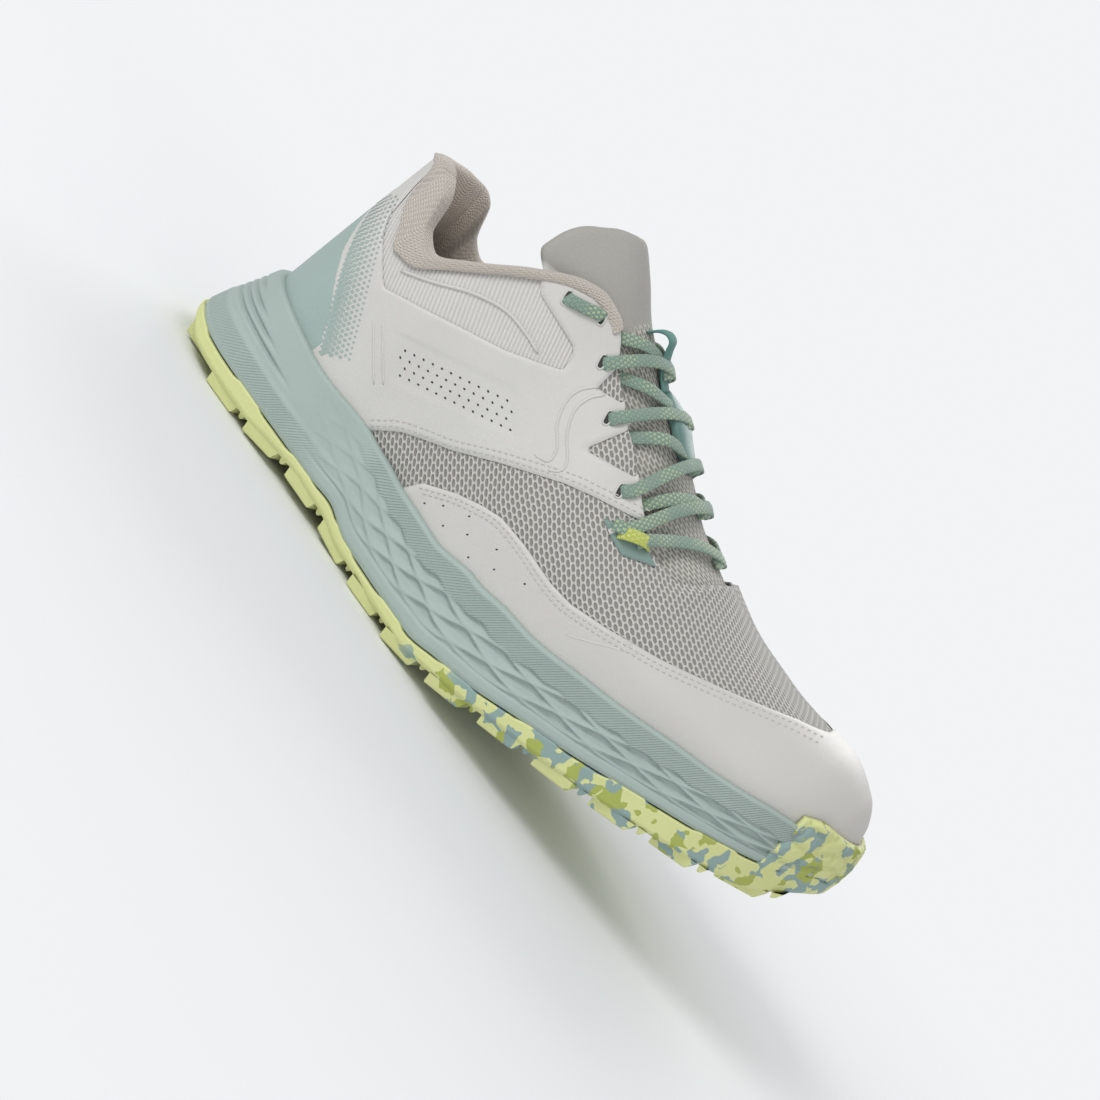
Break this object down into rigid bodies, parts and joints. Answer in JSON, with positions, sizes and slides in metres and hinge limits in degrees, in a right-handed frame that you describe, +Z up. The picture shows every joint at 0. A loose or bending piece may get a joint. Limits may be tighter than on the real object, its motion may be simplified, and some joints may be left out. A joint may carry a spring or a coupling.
{
  "type": "trail running shoe",
  "caption": "Low-cut trail running shoe for the right foot, standing empty, with a mesh upper under film overlays, a thick foam midsole, a lugged rubber outsole and flat laces",
  "frame": {"origin": "On the ground, under the middle of the flat spot of the heel", "axes": "+X from the heel to the toe, +Y to the inner side of the foot, +Z up"},
  "size_m": [0.295, 0.1054, 0.1471],
  "materials": {
    "midsole_foam": "matte foam",
    "outsole_rubber": "matte",
    "insole_fabric": "knit",
    "upper_mesh": "open warp knit",
    "tongue_mesh": "open warp knit",
    "collar_knit": "knit",
    "upper_film": "satin film",
    "patch_film": "satin film",
    "loop_webbing": "woven",
    "lace_cord": "woven",
    "keeper_plastic": "satin",
    "tongue_tape": "woven"
  },
  "bodies": {
    "root": {"midsole": "midsole_foam", "outsole": "outsole_rubber", "insole": "insole_fabric", "upper": "upper_mesh", "tongue": "tongue_mesh", "collar": "collar_knit", "quarter_film": "upper_film", "toe_guard": "upper_film", "throat_patch_outer": "patch_film", "throat_patch_inner": "patch_film", "lace_loop_outer": "loop_webbing", "lace_loop_inner": "loop_webbing", "lace_bar_outer": "lace_cord", "lace_bar_inner": "lace_cord", "lace_crossing_1": "lace_cord", "lace_crossing_2": "lace_cord", "lace_crossing_3": "lace_cord", "lace_crossing_4": "lace_cord", "lace_crossing_5": "lace_cord", "lace_keeper": "keeper_plastic", "tongue_loop": "tongue_tape"}
  },
  "joints": []
}
